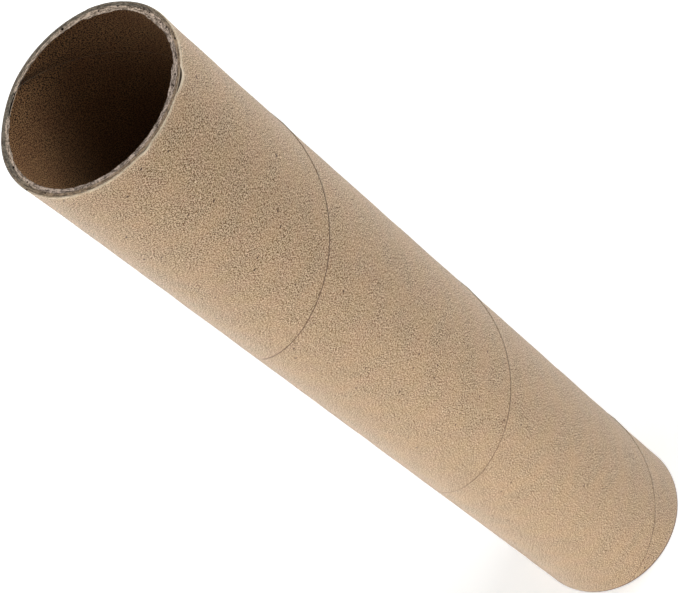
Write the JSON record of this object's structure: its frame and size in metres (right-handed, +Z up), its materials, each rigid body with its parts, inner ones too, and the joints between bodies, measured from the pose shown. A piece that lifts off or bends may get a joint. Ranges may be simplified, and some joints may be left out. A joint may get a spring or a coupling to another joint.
{
  "type": "cardboard mailing tube",
  "caption": "Open-ended spiral-wound kraft cardboard tube with a helical butt seam, for mailing and storing rolled sheets.",
  "frame": {"origin": "centre of the lower cut end, on the tube's axis, at the level that it stands on", "axes": "+Z up the tube's axis; -Y is the side that the picture shows"},
  "size_m": [0.0544, 0.0544, 0.305],
  "materials": {
    "kraft_board": "matte"
  },
  "bodies": {
    "root": {"tube": "kraft_board"}
  },
  "joints": []
}
